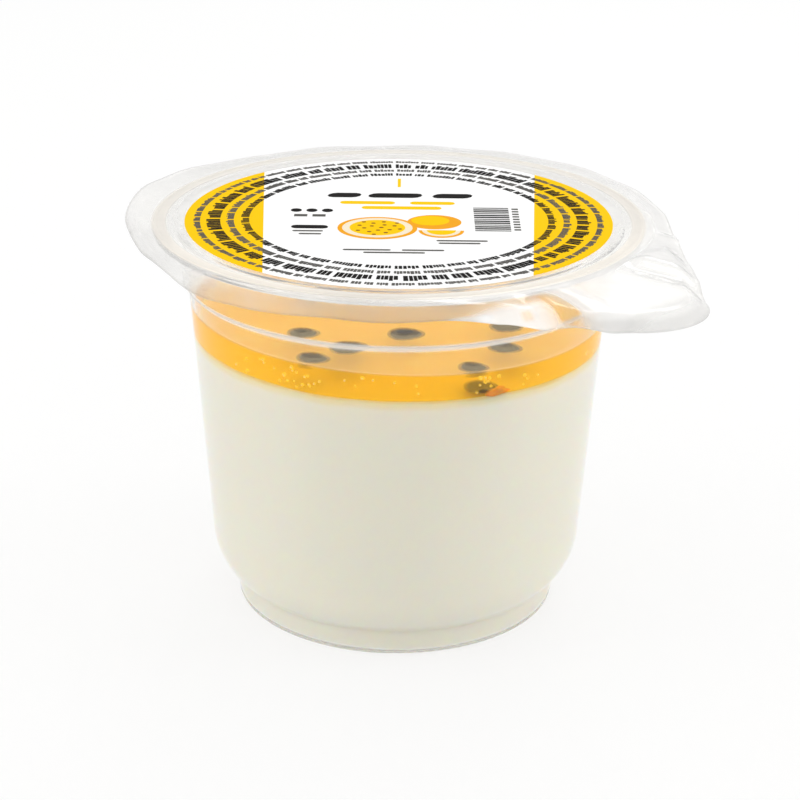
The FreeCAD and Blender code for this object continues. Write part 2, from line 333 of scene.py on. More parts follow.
@dataclass(frozen=True)
class SetMousse:
    """Aerated milk mousse, poured and chilled: soft, pale cream and matte, lit from within, stained
    yellow over the first millimetre or two under the jelly."""

    cream: str = "#FBF3E5"
    stained: str = "#FFD98A"
    faintly_stained: str = "#FAECC8"
    faint_share: float = 0.35
    stain_mm: float = 1.9
    stain_start: float = 0.45
    drift_mm: float = 5.0
    drift_height: float = 0.9
    scatter_mm: Point = (2.6, 2.0, 1.2)
    grain_mm: float = 0.8
    grain_depth_mm: float = 0.03

    def material(self, level: float, tilt: float) -> bpy.types.Material:
        """Build the mousse.

        Args:
            level: Height of the mousse's top on the axis.
            tilt: Lean of that top, higher towards -X.

        Returns:
            The material.
        """
        mix = Mixture("set_milk_mousse")
        upright = (math.sin(math.radians(tilt)) / MM, 0.0, math.cos(math.radians(tilt)) / MM)
        height = mix.add("VectorMath", {0: mix.at, 1: upright}, operation="DOT_PRODUCT")
        drift = mix.add("TexNoise", {"Vector": mix.at, "Scale": repeats(self.drift_mm), "Detail": 2.0})
        uneven = mix.add("Math", {0: drift, 1: self.drift_height, 2: height.outputs["Value"]},
                         operation="MULTIPLY_ADD")
        start = level + self.stain_start
        depth = mix.add("MapRange", {"Value": uneven, "From Min": start, "From Max": start - self.stain_mm})
        stain = mix.add("ValToRGB", {"Fac": depth})
        set_stops(stain, [(0.0, linear(self.stained)), (self.faint_share, linear(self.faintly_stained)),
                          (1.0, linear(self.cream))])
        stain.color_ramp.interpolation = "EASE"
        grain = mix.add("TexNoise", {"Vector": mix.at, "Scale": repeats(self.grain_mm), "Detail": 3.0})
        bump = mix.add("Bump", {"Height": grain, "Strength": 0.15, "Distance": self.grain_depth_mm * MM})
        return mix.done(mix.add("BsdfPrincipled", {
            "Base Color": stain, "Roughness": 0.62, "IOR": 1.38, "Subsurface Weight": 1.0,
            "Subsurface Radius": tuple(v * MM for v in self.scatter_mm), "Subsurface Scale": 1.0,
            "Normal": bump}))


@dataclass(frozen=True)
class FruitJelly:
    """Passion fruit juice set with gelatine: clear gold that deepens with thickness, since it takes out
    nearly all the blue and some of the green, paler on its upward-facing top, with a painted orange glow on
    its walls."""

    body: str = "#FFDA28"
    paler_top: str = "#F9E4AC"
    # Painted glow: the jelly's walls give off a faint orange light of their own, standing in for light that
    # wanders sideways through the jelly and leaves it at the wall.
    painted_glow: str = "#FF8A00"
    painted_wall_glow: float = 0.075
    clearness: float = 0.83
    top_clearness: float = 0.88
    top_slope: Flat = (0.3, 0.9)
    kept_per_cm: Point = (0.999, 0.93, 0.012)
    density_margin: float = 1.02
    roughness: float = 0.09
    # Gelatine and juice have about 1.35. Little of it shows against the wall, with no air between.
    ior: float = 1.12
    ripple_mm: float = 6.0
    ripple_depth_mm: float = 0.08
    lamp_share: float = 0.99

    def material(self) -> bpy.types.Material:
        """Build the jelly.

        Returns:
            The material.
        """
        mix = Mixture("gelatine_fruit_jelly")
        ripple = mix.add("TexNoise", {"Vector": mix.at, "Scale": repeats(self.ripple_mm), "Detail": 2.0})
        bump = mix.add("Bump", {"Height": ripple, "Strength": 0.25, "Distance": self.ripple_depth_mm * MM})
        way = mix.add("SeparateXYZ", {0: mix.coordinates.outputs["Normal"]})
        upward = mix.add("MapRange", {"Value": way.outputs["Z"], "From Min": self.top_slope[0],
                                      "From Max": self.top_slope[1]})
        # Paler colour on the faces that point up.
        colour = mix.add("Mix", {"Factor": upward, 6: linear(self.body), 7: linear(self.paler_top)},
                         data_type="RGBA")
        clear = mix.add("MapRange", {"Value": upward, "To Min": self.clearness,
                                     "To Max": self.top_clearness})
        # Painted glow on the faces that do not point up.
        painted_glow = mix.add("MapRange", {"Value": upward, "To Min": self.painted_wall_glow, "To Max": 0.0})
        jelly = mix.add("BsdfPrincipled", {
            "Base Color": colour.outputs[2], "Roughness": self.roughness, "IOR": self.ior,
            "Specular IOR Level": 1.0, "Transmission Weight": clear, "Emission Color": linear(self.painted_glow),
            "Emission Strength": painted_glow, "Normal": bump})
        taken = [-math.log(kept) / CM for kept in self.kept_per_cm]
        density = max(taken) * self.density_margin
        passed = (1 - share / density for share in taken)
        gold = mix.add("VolumeAbsorption", {"Color": (*passed, 1.0), "Density": density})
        return mix.done(jelly, self.lamp_share, Volume=gold)


@dataclass(frozen=True)
class SealedFilm:
    """Polypropylene lidding film, cast and heat-sealed: thin, glossy and milky, nearly white where the
    sealing ring pressed it on the rim, and clearest between the print and the seal and over the skirt."""

    tint: str = "#FDFCFA"
    sealed: str = "#FAF4EA"
    # Grey that the film's base tint and its painted shade lean towards.
    painted_shade: str = "#C6C5C3"
    loose_clear: float = 0.91
    sealed_clear: float = 0.45
    strip_clear: float = 0.91
    # Width of the change at the seal's inner edge and at its outer edge: where it starts and where it ends.
    inner_change: Flat = (-0.2, 0.1)
    outer_change: Flat = (-0.1, 0.3)
    past_rim: float = 4.0
    unevenness: float = 0.05
    roughness: float = 0.2
    # The body hardly bends light, as the film is so thin; its gloss is a coat with the plastic's own value.
    ior: float = 1.09
    gloss: float = 0.7
    gloss_ior: float = 1.49
    gloss_roughness: float = 0.1
    crinkle_mm: float = 6.0
    crinkle_depth_mm: float = 0.04
    lamp_share: float = 0.98

    def material(self, strip: float, seal: float, rim: float) -> bpy.types.Material:
        """Build the film.

        Args:
            strip: Radius of the print, where the clear strip starts.
            seal: Radius at which the seal starts.
            rim: Radius at which the seal and the rim end.

        Returns:
            The material.
        """
        mix = Mixture("cast_lidding_film")
        flat = mix.add("VectorMath", {0: mix.at, 1: (1 / MM, 1 / MM, 0.0)}, operation="MULTIPLY")
        radius = mix.add("VectorMath", {0: flat}, operation="LENGTH")
        span = rim + self.past_rim
        share = mix.add("Math", {0: radius.outputs["Value"], 1: span}, operation="DIVIDE")
        zones = mix.add("ValToRGB", {"Fac": share})
        set_stops(zones, [(place / span, even(clearness)) for place, clearness in (
            (strip, self.strip_clear),
            (seal + self.inner_change[0], self.strip_clear),
            (seal + self.inner_change[1], self.sealed_clear),
            (rim + self.outer_change[0], self.sealed_clear),
            (rim + self.outer_change[1], self.loose_clear))])
        cloud = mix.add("TexNoise", {"Vector": mix.at, "Scale": repeats(self.crinkle_mm), "Detail": 3.0})
        patchy = mix.add("MapRange", {"Value": cloud, "From Min": 0.3, "From Max": 0.7,
                                      "To Min": -self.unevenness, "To Max": self.unevenness})
        cloudy = mix.add("Math", {0: zones, 1: patchy}, operation="ADD", use_clamp=True)
        # Painted highlights: the film turns whiter and less clear where the folds would catch the light.
        milk = mix.add("Attribute", attribute_name=PAINTED_HIGHLIGHT_LAYER)
        clear = mix.add("Math", {0: cloudy, 1: milk.outputs["Fac"]}, operation="SUBTRACT", use_clamp=True)
        bump = mix.add("Bump", {"Height": cloud, "Strength": 0.2, "Distance": self.crinkle_depth_mm * MM})
        pressed = mix.add("MapRange", {"Value": zones, "From Min": self.loose_clear,
                                       "From Max": self.sealed_clear})
        plain = mix.add("Mix", {"Factor": pressed, 6: linear(self.tint), 7: linear(self.sealed)},
                        data_type="RGBA")
        # Painted shade: the film's base grey, plus grey painted where its buckles, lip and cut edge would
        # lie in shade, and less where they catch light.
        grey = mix.add("Attribute", attribute_name=PAINTED_SHADE_LAYER)
        colour = mix.add("Mix", {
            "Factor": grey.outputs["Fac"], 6: plain.outputs[2], 7: linear(self.painted_shade)}, data_type="RGBA")
        return mix.done(mix.add("BsdfPrincipled", {
            "Base Color": colour.outputs[2], "Roughness": self.roughness, "IOR": self.ior,
            "Transmission Weight": clear, "Coat Weight": self.gloss, "Coat IOR": self.gloss_ior,
            "Coat Roughness": self.gloss_roughness, "Normal": bump, "Coat Normal": bump}), self.lamp_share)


class Ink(Enum):
    """The printing inks, each with its sRGB colour."""

    WHITE = "#FBFBFA"
    YELLOW = "#FBC900"
    BLACK = "#1D1B1A"
    GREY = "#5C5A57"
    GOLD = "#F0A51E"
    CREAM = "#F3E6CC"
    BROWN = "#8A5A22"


@dataclass(frozen=True)
class GravureInk:
    """Gravure ink on film: flat fields with hardly any gloss and the fine cells of the engraved roll,
    drawn a little coarser than real so that they still show."""

    ink: Ink
    cell_mm: float = 0.35
    cell_depth_mm: float = 0.004
    mottle: float = 0.02

    def material(self) -> bpy.types.Material:
        """Build this ink.

        Returns:
            The material.
        """
        mix = Mixture(f"gravure_ink_{self.ink.name.lower()}")
        cells = mix.add("TexVoronoi", {"Vector": mix.at, "Scale": repeats(self.cell_mm)})
        colour = linear(self.ink.value)
        worn = (channel * (1 - self.mottle) for channel in colour[:3])
        mottled = mix.add("Mix", {"Factor": cells, 6: colour, 7: (*worn, 1.0)}, data_type="RGBA")
        bump = mix.add("Bump", {"Height": cells, "Strength": 0.1, "Distance": self.cell_depth_mm * MM})
        return mix.done(mix.add("BsdfPrincipled", {
            "Base Color": mottled.outputs[2], "Roughness": 0.6, "Specular IOR Level": 0.02,
            "Normal": bump}), lamp_share=1.0)


@dataclass(frozen=True)
class SeedCoat:
    """The woody coat of a fruit seed: dark grey-brown, pitted, with a wet gloss."""

    dark: str = "#26201A"
    light: str = "#4A4032"
    pit_mm: float = 0.45
    pit_depth_mm: float = 0.08

    def material(self) -> bpy.types.Material:
        """Build the seed coat.

        Returns:
            The material.
        """
        mix = Mixture("pitted_seed_coat")
        pits = mix.add("TexVoronoi", {"Vector": mix.at, "Scale": repeats(self.pit_mm)})
        shade = mix.add("ValToRGB", {"Fac": pits})
        set_stops(shade, [(0.0, linear(self.dark)), (0.8, linear(self.light))])
        bump = mix.add("Bump", {"Height": pits, "Strength": 0.6, "Distance": self.pit_depth_mm * MM},
                       invert=True)
        return mix.done(mix.add("BsdfPrincipled", {
            "Base Color": shade, "Roughness": 0.4, "IOR": 1.5, "Normal": bump}))


@dataclass(frozen=True)
class JuiceSac:
    """The sac of juice round each seed: see-through olive amber, deepest in its middle and fading to
    nothing at its edge, so that the seed lies softly in the jelly."""

    amber: str = "#2E2412"
    deepest: float = 0.6
    cloud_mm: float = 1.2

    def material(self) -> bpy.types.Material:
        """Build the sac.

        Returns:
            The material.
        """
        mix = Mixture("juice_sac_skin")
        cloud = mix.add("TexNoise", {"Vector": mix.at, "Scale": repeats(self.cloud_mm)})
        edge = mix.add("LayerWeight", {"Blend": 0.5})
        depth = mix.add("MapRange", {"Value": edge.outputs["Facing"], "From Min": 0.05, "From Max": 0.85,
                                     "To Min": self.deepest, "To Max": 0.0})
        share = mix.add("Math", {0: cloud, 1: 2.0}, operation="MULTIPLY")
        uneven = mix.add("Math", {0: share, 1: depth}, operation="MULTIPLY", use_clamp=True)
        juice = mix.add("BsdfPrincipled", {
            "Base Color": linear(self.amber), "Roughness": 0.5, "Specular IOR Level": 0.1})
        return mix.done(mix.add("MixShader", {0: uneven, 1: mix.add("BsdfTransparent"), 2: juice}))


@dataclass(frozen=True)
class JuicyPulp:
    """Torn juice sacs of the fruit: soft orange that light enters, with a wet surface."""

    deep: str = "#FF8400"
    pale: str = "#FFA31C"
    fibre_mm: float = 0.5
    scatter_mm: Point = (1.2, 0.5, 0.1)

    def material(self) -> bpy.types.Material:
        """Build the pulp.

        Returns:
            The material.
        """
        mix = Mixture("torn_juice_sac")
        fibres = mix.add("TexNoise", {"Vector": mix.at, "Scale": repeats(self.fibre_mm), "Distortion": 1.2})
        shade = mix.add("ValToRGB", {"Fac": fibres})
        set_stops(shade, [(0.3, linear(self.deep)), (0.7, linear(self.pale))])
        return mix.done(mix.add("BsdfPrincipled", {
            "Base Color": shade, "Roughness": 0.3, "IOR": 1.37, "Subsurface Weight": 0.6,
            "Subsurface Radius": tuple(v * MM for v in self.scatter_mm), "Subsurface Scale": 1.0}))


@dataclass(frozen=True)
class TrappedAir:
    """Air bubbles held in the jelly: see-through in the middle, with a pale bright rim painted on as a
    highlight.
    A faint painted glow of their own stands for the light that a bubble gathers from all round."""

    # Pale colour painted on each bubble's rim as a highlight.
    rim: str = "#FFF8E0"
    painted_glint: str = "#FFDDB8"
    painted_glint_strength: float = 0.2
    mist: float = 0.8
    mist_mm: float = 0.4

    def material(self) -> bpy.types.Material:
        """Build the bubbles.

        Returns:
            The material.
        """
        mix = Mixture("trapped_air")
        edge = mix.add("LayerWeight", {"Blend": 0.35})
        mist = mix.add("TexNoise", {"Vector": mix.at, "Scale": repeats(self.mist_mm)})
        share = mix.add("Math", {0: mist, 1: self.mist, 2: edge.outputs["Facing"]},
                        operation="MULTIPLY_ADD", use_clamp=True)
        # The painted gleam: a pale rim colour and a faint glow of its own.
        painted_gleam = mix.add("BsdfPrincipled", {
            "Base Color": linear(self.rim), "Roughness": 0.2, "Emission Color": linear(self.painted_glint),
            "Emission Strength": self.painted_glint_strength})
        return mix.done(mix.add("MixShader", {0: share, 1: mix.add("BsdfTransparent"), 2: painted_gleam}))


@dataclass(frozen=True)
class StudioPaper:
    """Matt white studio paper, seen as plain white and still taking the object's soft shadow."""

    paper: str = "#F4F4F3"
    white_share: float = 0.72
    tooth_mm: float = 2.0
    tooth_depth_mm: float = 0.02

    def material(self) -> bpy.types.Material:
        """Build the floor's paper.

        Returns:
            The material.
        """
        mix = Mixture("studio_paper")
        grain = mix.add("TexNoise", {"Vector": mix.at, "Scale": repeats(self.tooth_mm)})
        tooth = mix.add("Bump", {"Height": grain, "Strength": 0.05, "Distance": self.tooth_depth_mm * MM})
        matt = mix.add("BsdfDiffuse", {"Color": linear(self.paper), "Normal": tooth})
        white = mix.add("Emission", {"Color": even(1.0), "Strength": 1.0})
        share = mix.add("Math", {0: seen_directly(mix.add), 1: self.white_share}, operation="MULTIPLY")
        return mix.done(mix.add("MixShader", {0: share, 1: matt, 2: white}))


# ---------------------------------------------------------------- the cup's inside and what fills it
@dataclass(frozen=True)
class CupInside:
    """The inner wall, from the base up to the rim. Radii and heights are the CAD cup's."""

    wall_top: float = 31.7
    wall_top_height: float = 52.4
    step_height: float = 53.0
    shoulder: float = 28.73
    shoulder_height: float = 11.0
    shoulder_steps: int = 14
    foot: float = 24.83
    foot_top: float = 4.2
    foot_margin: float = 0.6
    ring_inner: float = 22.83
    ring_round: float = 0.3
    recess: float = 21.43
    floor_height: float = 0.6
    recess_height: float = 1.9

    def wall_radius(self, height: float) -> float:
        """Inner radius of the tapered wall at that height."""
        rise = (height - self.shoulder_height) / (self.wall_top_height - self.shoulder_height)
        return self.shoulder + (self.wall_top - self.shoulder) * rise

    def base_profile(self) -> list[Flat]:
        """Follow the inside from the axis out over the base and up to the end of the shoulder.

        Returns:
            Radius and height of each point, in order.
        """
        lean = math.atan2(self.wall_top - self.shoulder, self.wall_top_height - self.shoulder_height)
        start = Vector((self.shoulder, self.shoulder_height))
        end = Vector((self.foot, self.foot_top))
        along = Vector((-math.sin(lean), -math.cos(lean)))
        chord = end - start
        across = (chord - along * chord.dot(along)).normalized()
        radius = chord.length_squared / (2 * chord.dot(across))
        centre = start + across * radius
        first = math.atan2(*(end - centre).yx)
        last = math.atan2(*(start - centre).yx)
        turns = [first + (last - first) * i / self.shoulder_steps for i in range(self.shoulder_steps + 1)]
        arc = [(centre.x + radius * math.cos(a), centre.y + radius * math.sin(a)) for a in turns]
        flat = [(0.0, self.recess_height), (self.recess * 0.5, self.recess_height),
                (self.recess, self.recess_height), (self.ring_inner, self.floor_height),
                (self.foot - self.ring_round, self.floor_height),
                (self.foot, self.floor_height + self.ring_round),
                (self.foot, self.foot_top - self.foot_margin)]
        return flat + arc


@dataclass(frozen=True)
class LeaningLevel:
    """A filling's top: its height on the axis and its lean, higher towards -X."""

    level: float
    tilt: float

    def height(self, x: float) -> float:
        """Height of the plane at that x."""
        return self.level - math.tan(math.radians(self.tilt)) * x


@dataclass
class Filling:
    """The mousse and the jelly that is set on it."""

    inside: CupInside
    mousse_top: LeaningLevel = LeaningLevel(44.35, 0.85)
    jelly_top: LeaningLevel = LeaningLevel(48.15, 1.7)
    # How far each goes into the wall, and the jelly into the mousse, so that no air shows between them.
    mousse_reach: float = 0.16
    jelly_reach: float = 0.11
    jelly_sunk: float = 0.3
    swell_mm: float = 9.0
    swell_height: float = 0.14
    swell_slice: float = 3.0
    meniscus_height: float = 0.35
    meniscus_width: float = 0.52
    spokes: int = 240
    mousse_wall_steps: int = 26
    jelly_wall_steps: int = 8
    under_shares: tuple[float, ...] = (0.25, 0.5, 0.75, 0.9, 1.0)
    top_rings: int = 24
    top_crowding: float = 1.6
    passes: int = 6

    def wall_meets(self, top: Top, angle: float) -> Flat:
        """Find where a filling's top meets the wall.

        Args:
            top: Height of the top at x, y.
            angle: Direction from the axis, radians.

        Returns:
            Radius and height there.
        """
        radius = self.inside.wall_radius(self.mousse_top.level)
        height = 0.0
        for _ in range(self.passes):
            height = top(radius * math.cos(angle), radius * math.sin(angle))
            radius = self.inside.wall_radius(height)
        return radius, height

    def mousse_surface(self, x: float, y: float) -> float:
        """Height of the mousse's top, with the slow unevenness of a poured filling."""
        slow = noise.noise(Vector((x, y, self.swell_slice)) / self.swell_mm)
        return self.mousse_top.height(x) + self.swell_height * slow

    def jelly_surface(self, x: float, y: float) -> float:
        """Find the height of the jelly's top, which climbs a little up the wall.

        Args:
            x: Place to the right of the axis.
            y: Place behind the axis.

        Returns:
            The height there.
        """
        level = self.jelly_top.height(x)
        reach = self.inside.wall_radius(level) - math.hypot(x, y)
        return level + self.meniscus_height * math.exp(-max(reach, 0.0) / self.meniscus_width)

    def turned(self, rings: list[Ring]) -> tuple[list[Point], list[Face]]:
        """Turn a profile whose points may differ by direction.

        Args:
            rings: For each ring, radius and height as a function of the angle.

        Returns:
            Points and faces, closed by a pole at both ends of the profile.
        """
        points: list[Point] = []
        for ring in rings:
            for spoke in range(self.spokes):
                angle = math.tau * spoke / self.spokes
                radius, height = ring(angle)
                points.append((radius * math.cos(angle), radius * math.sin(angle), height))
        faces = ring_grid(len(rings), self.spokes)
        for number, flip in ((0, True), (len(rings) - 1, False)):
            height = sum(rings[number](math.tau * i / 4)[1] for i in range(4)) / 4
            close_end(points, faces, number * self.spokes, self.spokes, (0.0, 0.0, height), flip)
        return points, faces

    def wall_rings(self, low: Top, high: Top, shares: Iterable[float], reach: float) -> list[Ring]:
        """Rings up the tapered wall, from one surface towards another.

        Args:
            low: Surface that they start from.
            high: Surface that they go towards.
            shares: How far up each ring lies, from 0 to 1.
            reach: How far they go into the wall.

        Returns:
            The rings.
        """
        def at(share: float, angle: float) -> Flat:
            """Radius and height of one ring in that direction."""
            bottom = self.wall_meets(low, angle)[1]
            height = bottom + (self.wall_meets(high, angle)[1] - bottom) * share
            return self.inside.wall_radius(height) + reach, height
        return [partial(at, share) for share in shares]

    def level_rings(self, top: Top, shares: Iterable[float], reach: float, drop: float = 0.0) -> list[Ring]:
        """Rings over a surface that ends at the wall.

        Args:
            top: The surface.
            shares: How far out each ring lies, from 0 at the axis to 1 at the wall.
            reach: How far the outermost goes into the wall.
            drop: How far below the surface and short of the wall the rings lie.

        Returns:
            The rings.
        """
        def at(share: float, angle: float) -> Flat:
            """Radius and height of one ring in that direction."""
            here = (self.wall_meets(top, angle)[0] - drop) * share
            height = top(here * math.cos(angle), here * math.sin(angle)) - drop
            return here + (reach if share == 1.0 else 0.0), height
        return [partial(at, share) for share in shares]

    def top_shares(self) -> list[float]:
        """How far out the rings of a top lie, closest together at the wall."""
        return [1.0 - (i / self.top_rings) ** self.top_crowding for i in range(self.top_rings)]

    def mousse(self) -> bpy.types.Object:
        """Build the mousse.

        Returns:
            The piece.
        """
        base = self.inside.base_profile()

        def fixed(index: int, _: float) -> Flat:
            """A point of the base's profile, moved out into the plastic."""
            before, here, after = base[max(index - 1, 0)], base[index], base[min(index + 1, len(base) - 1)]
            along = Vector((after[0] - before[0], after[1] - before[1])).normalized()
            return here[0] + along.y * self.mousse_reach, here[1] - along.x * self.mousse_reach
        rings: list[Ring] = [partial(fixed, i) for i in range(1, len(base))]
        steps = [step / self.mousse_wall_steps for step in range(1, self.mousse_wall_steps)]
        rings += self.wall_rings(lambda x, y: self.inside.shoulder_height, self.mousse_surface, steps,
                                 self.mousse_reach)
        rings += self.level_rings(self.mousse_surface, self.top_shares(), self.mousse_reach)
        finish = SetMousse().material(self.mousse_top.level, self.mousse_top.tilt)
        return hand_over(mesh_object("mousse_filling", *self.turned(rings), finish), "mousse", "mousse")

    def jelly(self) -> bpy.types.Object:
        """Build the jelly, with its underside just inside the mousse.

        Returns:
            The piece.
        """
        rings = self.level_rings(self.mousse_surface, self.under_shares, 0.0, self.jelly_sunk)
        steps = [step / self.jelly_wall_steps for step in range(self.jelly_wall_steps)]
        rings += self.wall_rings(self.mousse_surface, self.jelly_surface, steps, self.jelly_reach)
        rings += self.level_rings(self.jelly_surface, self.top_shares(), self.jelly_reach)
        finish = FruitJelly().material()
        return hand_over(mesh_object("fruit_jelly", *self.turned(rings), finish), "jelly", "jelly")


@dataclass
class Seed:
    """One seed: where its middle is, how far under the jelly's top, and which way it lies."""

    x: float
    y: float
    depth: float
    turn: float
    lean: float = 0.0
    size: float = 1.0


class Crowd(NamedTuple):
    """A crowd of bubbles: the direction of its middle, how far it spreads and how many it holds."""

    middle: float
    spread: float
    count: int


@dataclass
class Lumps:
    """Smooth round bodies joined in one mesh."""

    points: list[Point] = field(default_factory=list)
    faces: list[Face] = field(default_factory=list)

    def add(self, centre: Vector, turn: Matrix, half: tuple[float, ...], narrow: float, around: int = 24,
            up: int = 14) -> None:
        """Add one lump, narrower towards one end.

        Args:
            centre: Middle of the lump.
            turn: How it is turned.
            half: Its half length, half width and half thickness.
            narrow: How much narrower it is at its far end.
            around: Vertices round it.
            up: Rings from end to end.
        """
        first = len(self.points)
        for ring in range(1, up):
            along = -math.cos(math.pi * ring / up)
            wide = math.sin(math.pi * ring / up) * (1 - narrow * along)
            for spoke in range(around):
                angle = math.tau * spoke / around
                local = Vector((half[0] * along, half[1] * wide * math.cos(angle),
                                half[2] * wide * math.sin(angle)))
                self.points.append(tuple(centre + turn @ local))
        self.faces += ring_grid(up - 1, around, first)
        for end, ring, flip in ((-1.0, 0, True), (1.0, up - 2, False)):
            pole = tuple(centre + turn @ Vector((half[0] * end, 0, 0)))
            close_end(self.points, self.faces, first + ring * around, around, pole, flip)

    def piece(self, name: str, material: bpy.types.Material) -> bpy.types.Object:
        """Hand the lumps over as one piece in the jelly."""
        return hand_over(mesh_object(name, self.points, self.faces, material), "jelly")


@dataclass
class SunkInJelly:
    """Seeds in their sacs, shreds of pulp and bubbles in the jelly."""

    filling: Filling
    seed_size: Point = (4.7, 3.3, 1.7)
    seed_narrow: float = 0.22
    sac_thick: Point = (0.6, 0.6, 0.3)
    sac_narrow: float = 0.18
    placed: tuple[Seed, ...] = (
        Seed(-14.0, -13.9, 0.85, 5, size=0.85), Seed(-7.1, -19.0, 0.95, 15, size=1.05),
        Seed(-12.1, -24.0, 0.8, -12, size=0.85), Seed(1.3, -12.9, 0.7, 8, size=1.0),
        Seed(15.9, -16.6, 0.85, -14, size=0.9), Seed(11.0, -25.2, 0.8, -6, size=0.75),
        Seed(16.5, -7.6, 1.0, -4, size=0.9), Seed(12.0, -26.7, 2.75, 24, lean=6, size=0.9))
    further_seeds: int = 11
    further_from: float = 5.0
    further_radius: float = 27.0
    further_depth: Flat = (1.1, 2.2)
    further_lean: float = 12
    further_size: Flat = (0.85, 1.1)
    seed_spacing: float = 6.5
    random_seed: int = 11
    # Place and direction of each shred, the first against the wall in front.
    shreds: tuple[tuple[Point, float], ...] = (
        ((14.45, -27.28, 44.45), 28), ((-20.0, 14.0, 46.5), 70), ((6.0, 24.0, 45.9), 150),
        ((22.0, 12.0, 45.4), 110))
    # Offset, length and turn of each strand of a shred.
    strands: tuple[Point, ...] = ((0.0, 4.2, 0), (0.7, 2.6, 34), (-0.9, 2.2, -28))
    strand_half: Flat = (0.55, 0.6)
    strand_narrow: float = 0.5
    strand_climb: float = 0.25
    crowds: tuple[Crowd, ...] = (
        Crowd(-132, 9, 8), Crowd(-118, 8, 16), Crowd(-103, 6, 3), Crowd(-92, 6, 2), Crowd(-84, 4, 2),
        Crowd(-65, 4, 10), Crowd(-52, 6, 4), Crowd(-20, 20, 4), Crowd(40, 30, 6), Crowd(100, 30, 6),
        Crowd(160, 25, 7))
    bubble_radius: Flat = (0.18, 0.34)
    bubble_into_wall: float = 0.14
    bubble_scatter: float = 0.03
    above_mousse: float = 0.5
    below_top: float = 0.9
    small_mesh: tuple[int, int] = (12, 8)

    def all_seeds(self) -> list[Seed]:
        """Gather the placed seeds and spread the others over the far half of the jelly.

        Returns:
            The seeds.
        """
        draw = random.Random(self.random_seed)
        seeds = list(self.placed)
        while len(seeds) < len(self.placed) + self.further_seeds:
            radius = self.further_radius * math.sqrt(draw.random())
            angle = draw.uniform(0.0, math.pi)
            x, y = radius * math.cos(angle), radius * math.sin(angle)
            free = all(math.hypot(x - s.x, y - s.y) > self.seed_spacing for s in seeds)
            if y > self.further_from and free:
                seeds.append(Seed(x, y, draw.uniform(*self.further_depth), draw.uniform(0, 180),
                                  draw.uniform(-self.further_lean, self.further_lean),
                                  draw.uniform(*self.further_size)))
        return seeds

    def round_seeds(self, margin: Point, narrow: float) -> Lumps:
        """Make one lump for each seed.

        Args:
            margin: How much larger than the seed it is on each side, along its three axes.
            narrow: How much narrower it is at its far end.

        Returns:
            The lumps.
        """
        lumps = Lumps()
        for seed in self.all_seeds():
            centre = Vector((seed.x, seed.y, self.filling.jelly_top.height(seed.x) - seed.depth))
            turn = (Matrix.Rotation(math.radians(seed.turn), 3, "Z")
                    @ Matrix.Rotation(math.radians(seed.lean), 3, "Y"))
            half = tuple(size * seed.size / 2 + more for size, more in zip(self.seed_size, margin))
            lumps.add(centre, turn, half, narrow)
        return lumps

    def seeds(self) -> bpy.types.Object:
        """Build the seeds as one joined mesh."""
        lumps = self.round_seeds((0.0, 0.0, 0.0), self.seed_narrow)
        return lumps.piece("fruit_seeds", SeedCoat().material())

    def sacs(self) -> bpy.types.Object:
        """Build the sac round each seed as one joined mesh."""
        lumps = self.round_seeds(self.sac_thick, self.sac_narrow)
        return lumps.piece("juice_sacs", JuiceSac().material())

    def pulp(self) -> bpy.types.Object:
        """Build the shreds of pulp as one joined mesh.

        Returns:
            The piece.
        """
        lumps = Lumps()
        for place, turn in self.shreds:
            for offset, length, spin in self.strands:
                around = Matrix.Rotation(math.radians(turn + spin), 3, "Z")
                centre = Vector(place) + around @ Vector((offset, 0.0, self.strand_climb * offset))
                half = (length / 2, *self.strand_half)
                lumps.add(centre, around, half, self.strand_narrow, *self.small_mesh)
        return lumps.piece("fruit_pulp", JuicyPulp().material())

    def bubbles(self) -> bpy.types.Object:
        """Build the bubbles, which lie against the wall.

        Returns:
            The piece.
        """
        draw = random.Random(self.random_seed + 1)
        filling = self.filling
        lumps = Lumps()
        for middle, spread, count in self.crowds:
            for _ in range(count):
                angle = math.radians(draw.gauss(middle, spread / 2))
                radius = draw.uniform(*self.bubble_radius)
                low = filling.wall_meets(filling.mousse_surface, angle)[1] + self.above_mousse
                high = filling.wall_meets(filling.jelly_surface, angle)[1] - self.below_top
                height = draw.uniform(low, high)
                reach = (filling.inside.wall_radius(height) + self.bubble_into_wall - radius
                         - abs(draw.gauss(0, self.bubble_scatter)))
                centre = Vector((reach * math.cos(angle), reach * math.sin(angle), height))
                lumps.add(centre, Matrix.Identity(3), (radius,) * 3, 0.0, *self.small_mesh)
        return lumps.piece("air_bubbles", TrappedAir().material())


# ---------------------------------------------------------------- film lid
class Pleat(NamedTuple):
    """A fold that runs out over the loose film: its direction, half width and height."""

    middle: float
    width: float
    height: float


class Patch(NamedTuple):
    """A soft-edged patch of the film: direction and spread of its middle, inner and outer radius, and
    what it adds there. Its edges fade over at most that width, from a little outside it inwards."""

    middle: float
    spread: float
    inner: float
    outer: float
    amount: float
    fade: float = 2.4
    outside: float = 0.4
    side_fade: float = 1.6

    def at(self, distance: float, degrees: float) -> float:
        """Tell what the patch adds at one place.

        Args:
            distance: Distance from the axis.
            degrees: Direction from the axis.

        Returns:
            Its amount there, which fades to nothing at its edges.
        """
        beside = abs(math.remainder(degrees - self.middle, 360.0)) / self.spread
        fade = min((self.outer - self.inner) / 2, self.fade)
        across = (smooth((distance - self.inner) / fade + self.outside)
                  * smooth((self.outer - distance) / fade + self.outside))
        return self.amount * across * smooth(self.side_fade - beside)


